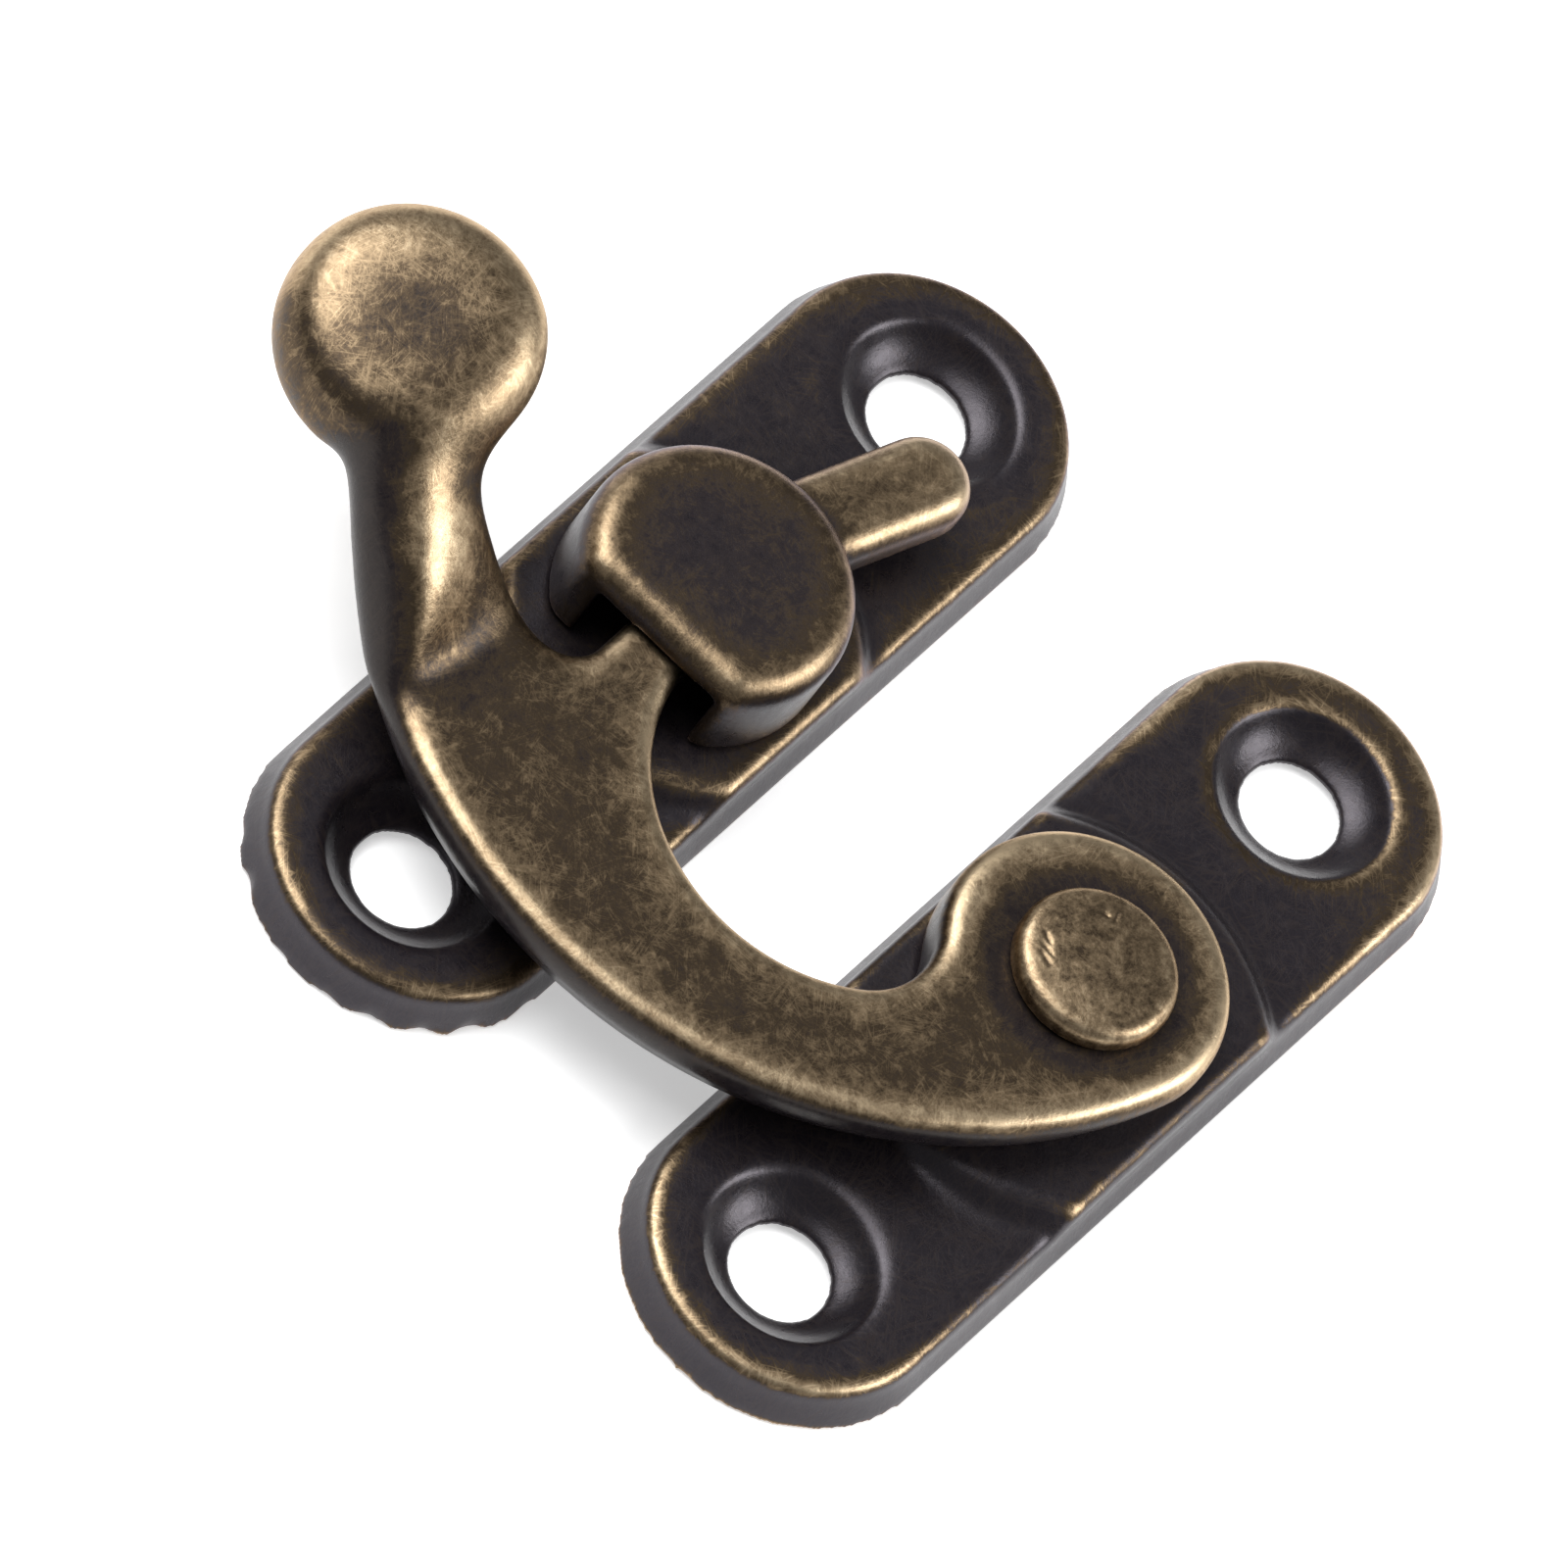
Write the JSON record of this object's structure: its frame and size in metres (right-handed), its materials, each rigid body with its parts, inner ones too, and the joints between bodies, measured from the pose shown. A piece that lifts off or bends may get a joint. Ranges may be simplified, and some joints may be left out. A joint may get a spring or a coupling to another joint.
{
  "type": "swing hook hasp",
  "caption": "Antique-bronze swing hook hasp for a box: a C-shaped arm with a thumb knob, riveted to one pressed plate, latches into a turn catch on another.",
  "frame": {"origin": "rivet axis of the swing arm on the mounting surface, which is the middle of the pivot plate's screw holes", "axes": "+X along both plates, +Y from the pivot plate to the catch plate, +Z out of the mounting surface"},
  "size_m": [0.0334, 0.0344, 0.01],
  "materials": {
    "pivot_plate_bronze": "antique bronze plate, dark flats and worn rim",
    "catch_plate_bronze": "antique bronze plate, dark flats and worn rim",
    "arm_bronze": "antique bronze, brushed and worn",
    "rivet_bronze": "antique bronze, worn bright",
    "catch_bronze": "antique bronze, dark face and worn rim"
  },
  "bodies": {
    "plates": {"pivot_plate": "pivot_plate_bronze", "pivot_rivet": "rivet_bronze", "catch_plate": "catch_plate_bronze"},
    "arm": {"swing_arm": "arm_bronze"},
    "catch": {"turn_catch": "catch_bronze"}
  },
  "joints": [
    {"name": "arm_swing", "type": "hinge", "parent": "plates", "child": "arm", "pos_m": [0, 0, 0], "axis": [0, 0, 1], "range_deg": [0, 150]},
    {"name": "catch_turn", "type": "hinge", "parent": "plates", "child": "catch", "pos_m": [0.0004, 0.0152, 0], "axis": [0, 0, 1], "range_deg": [-13, 15]}
  ]
}
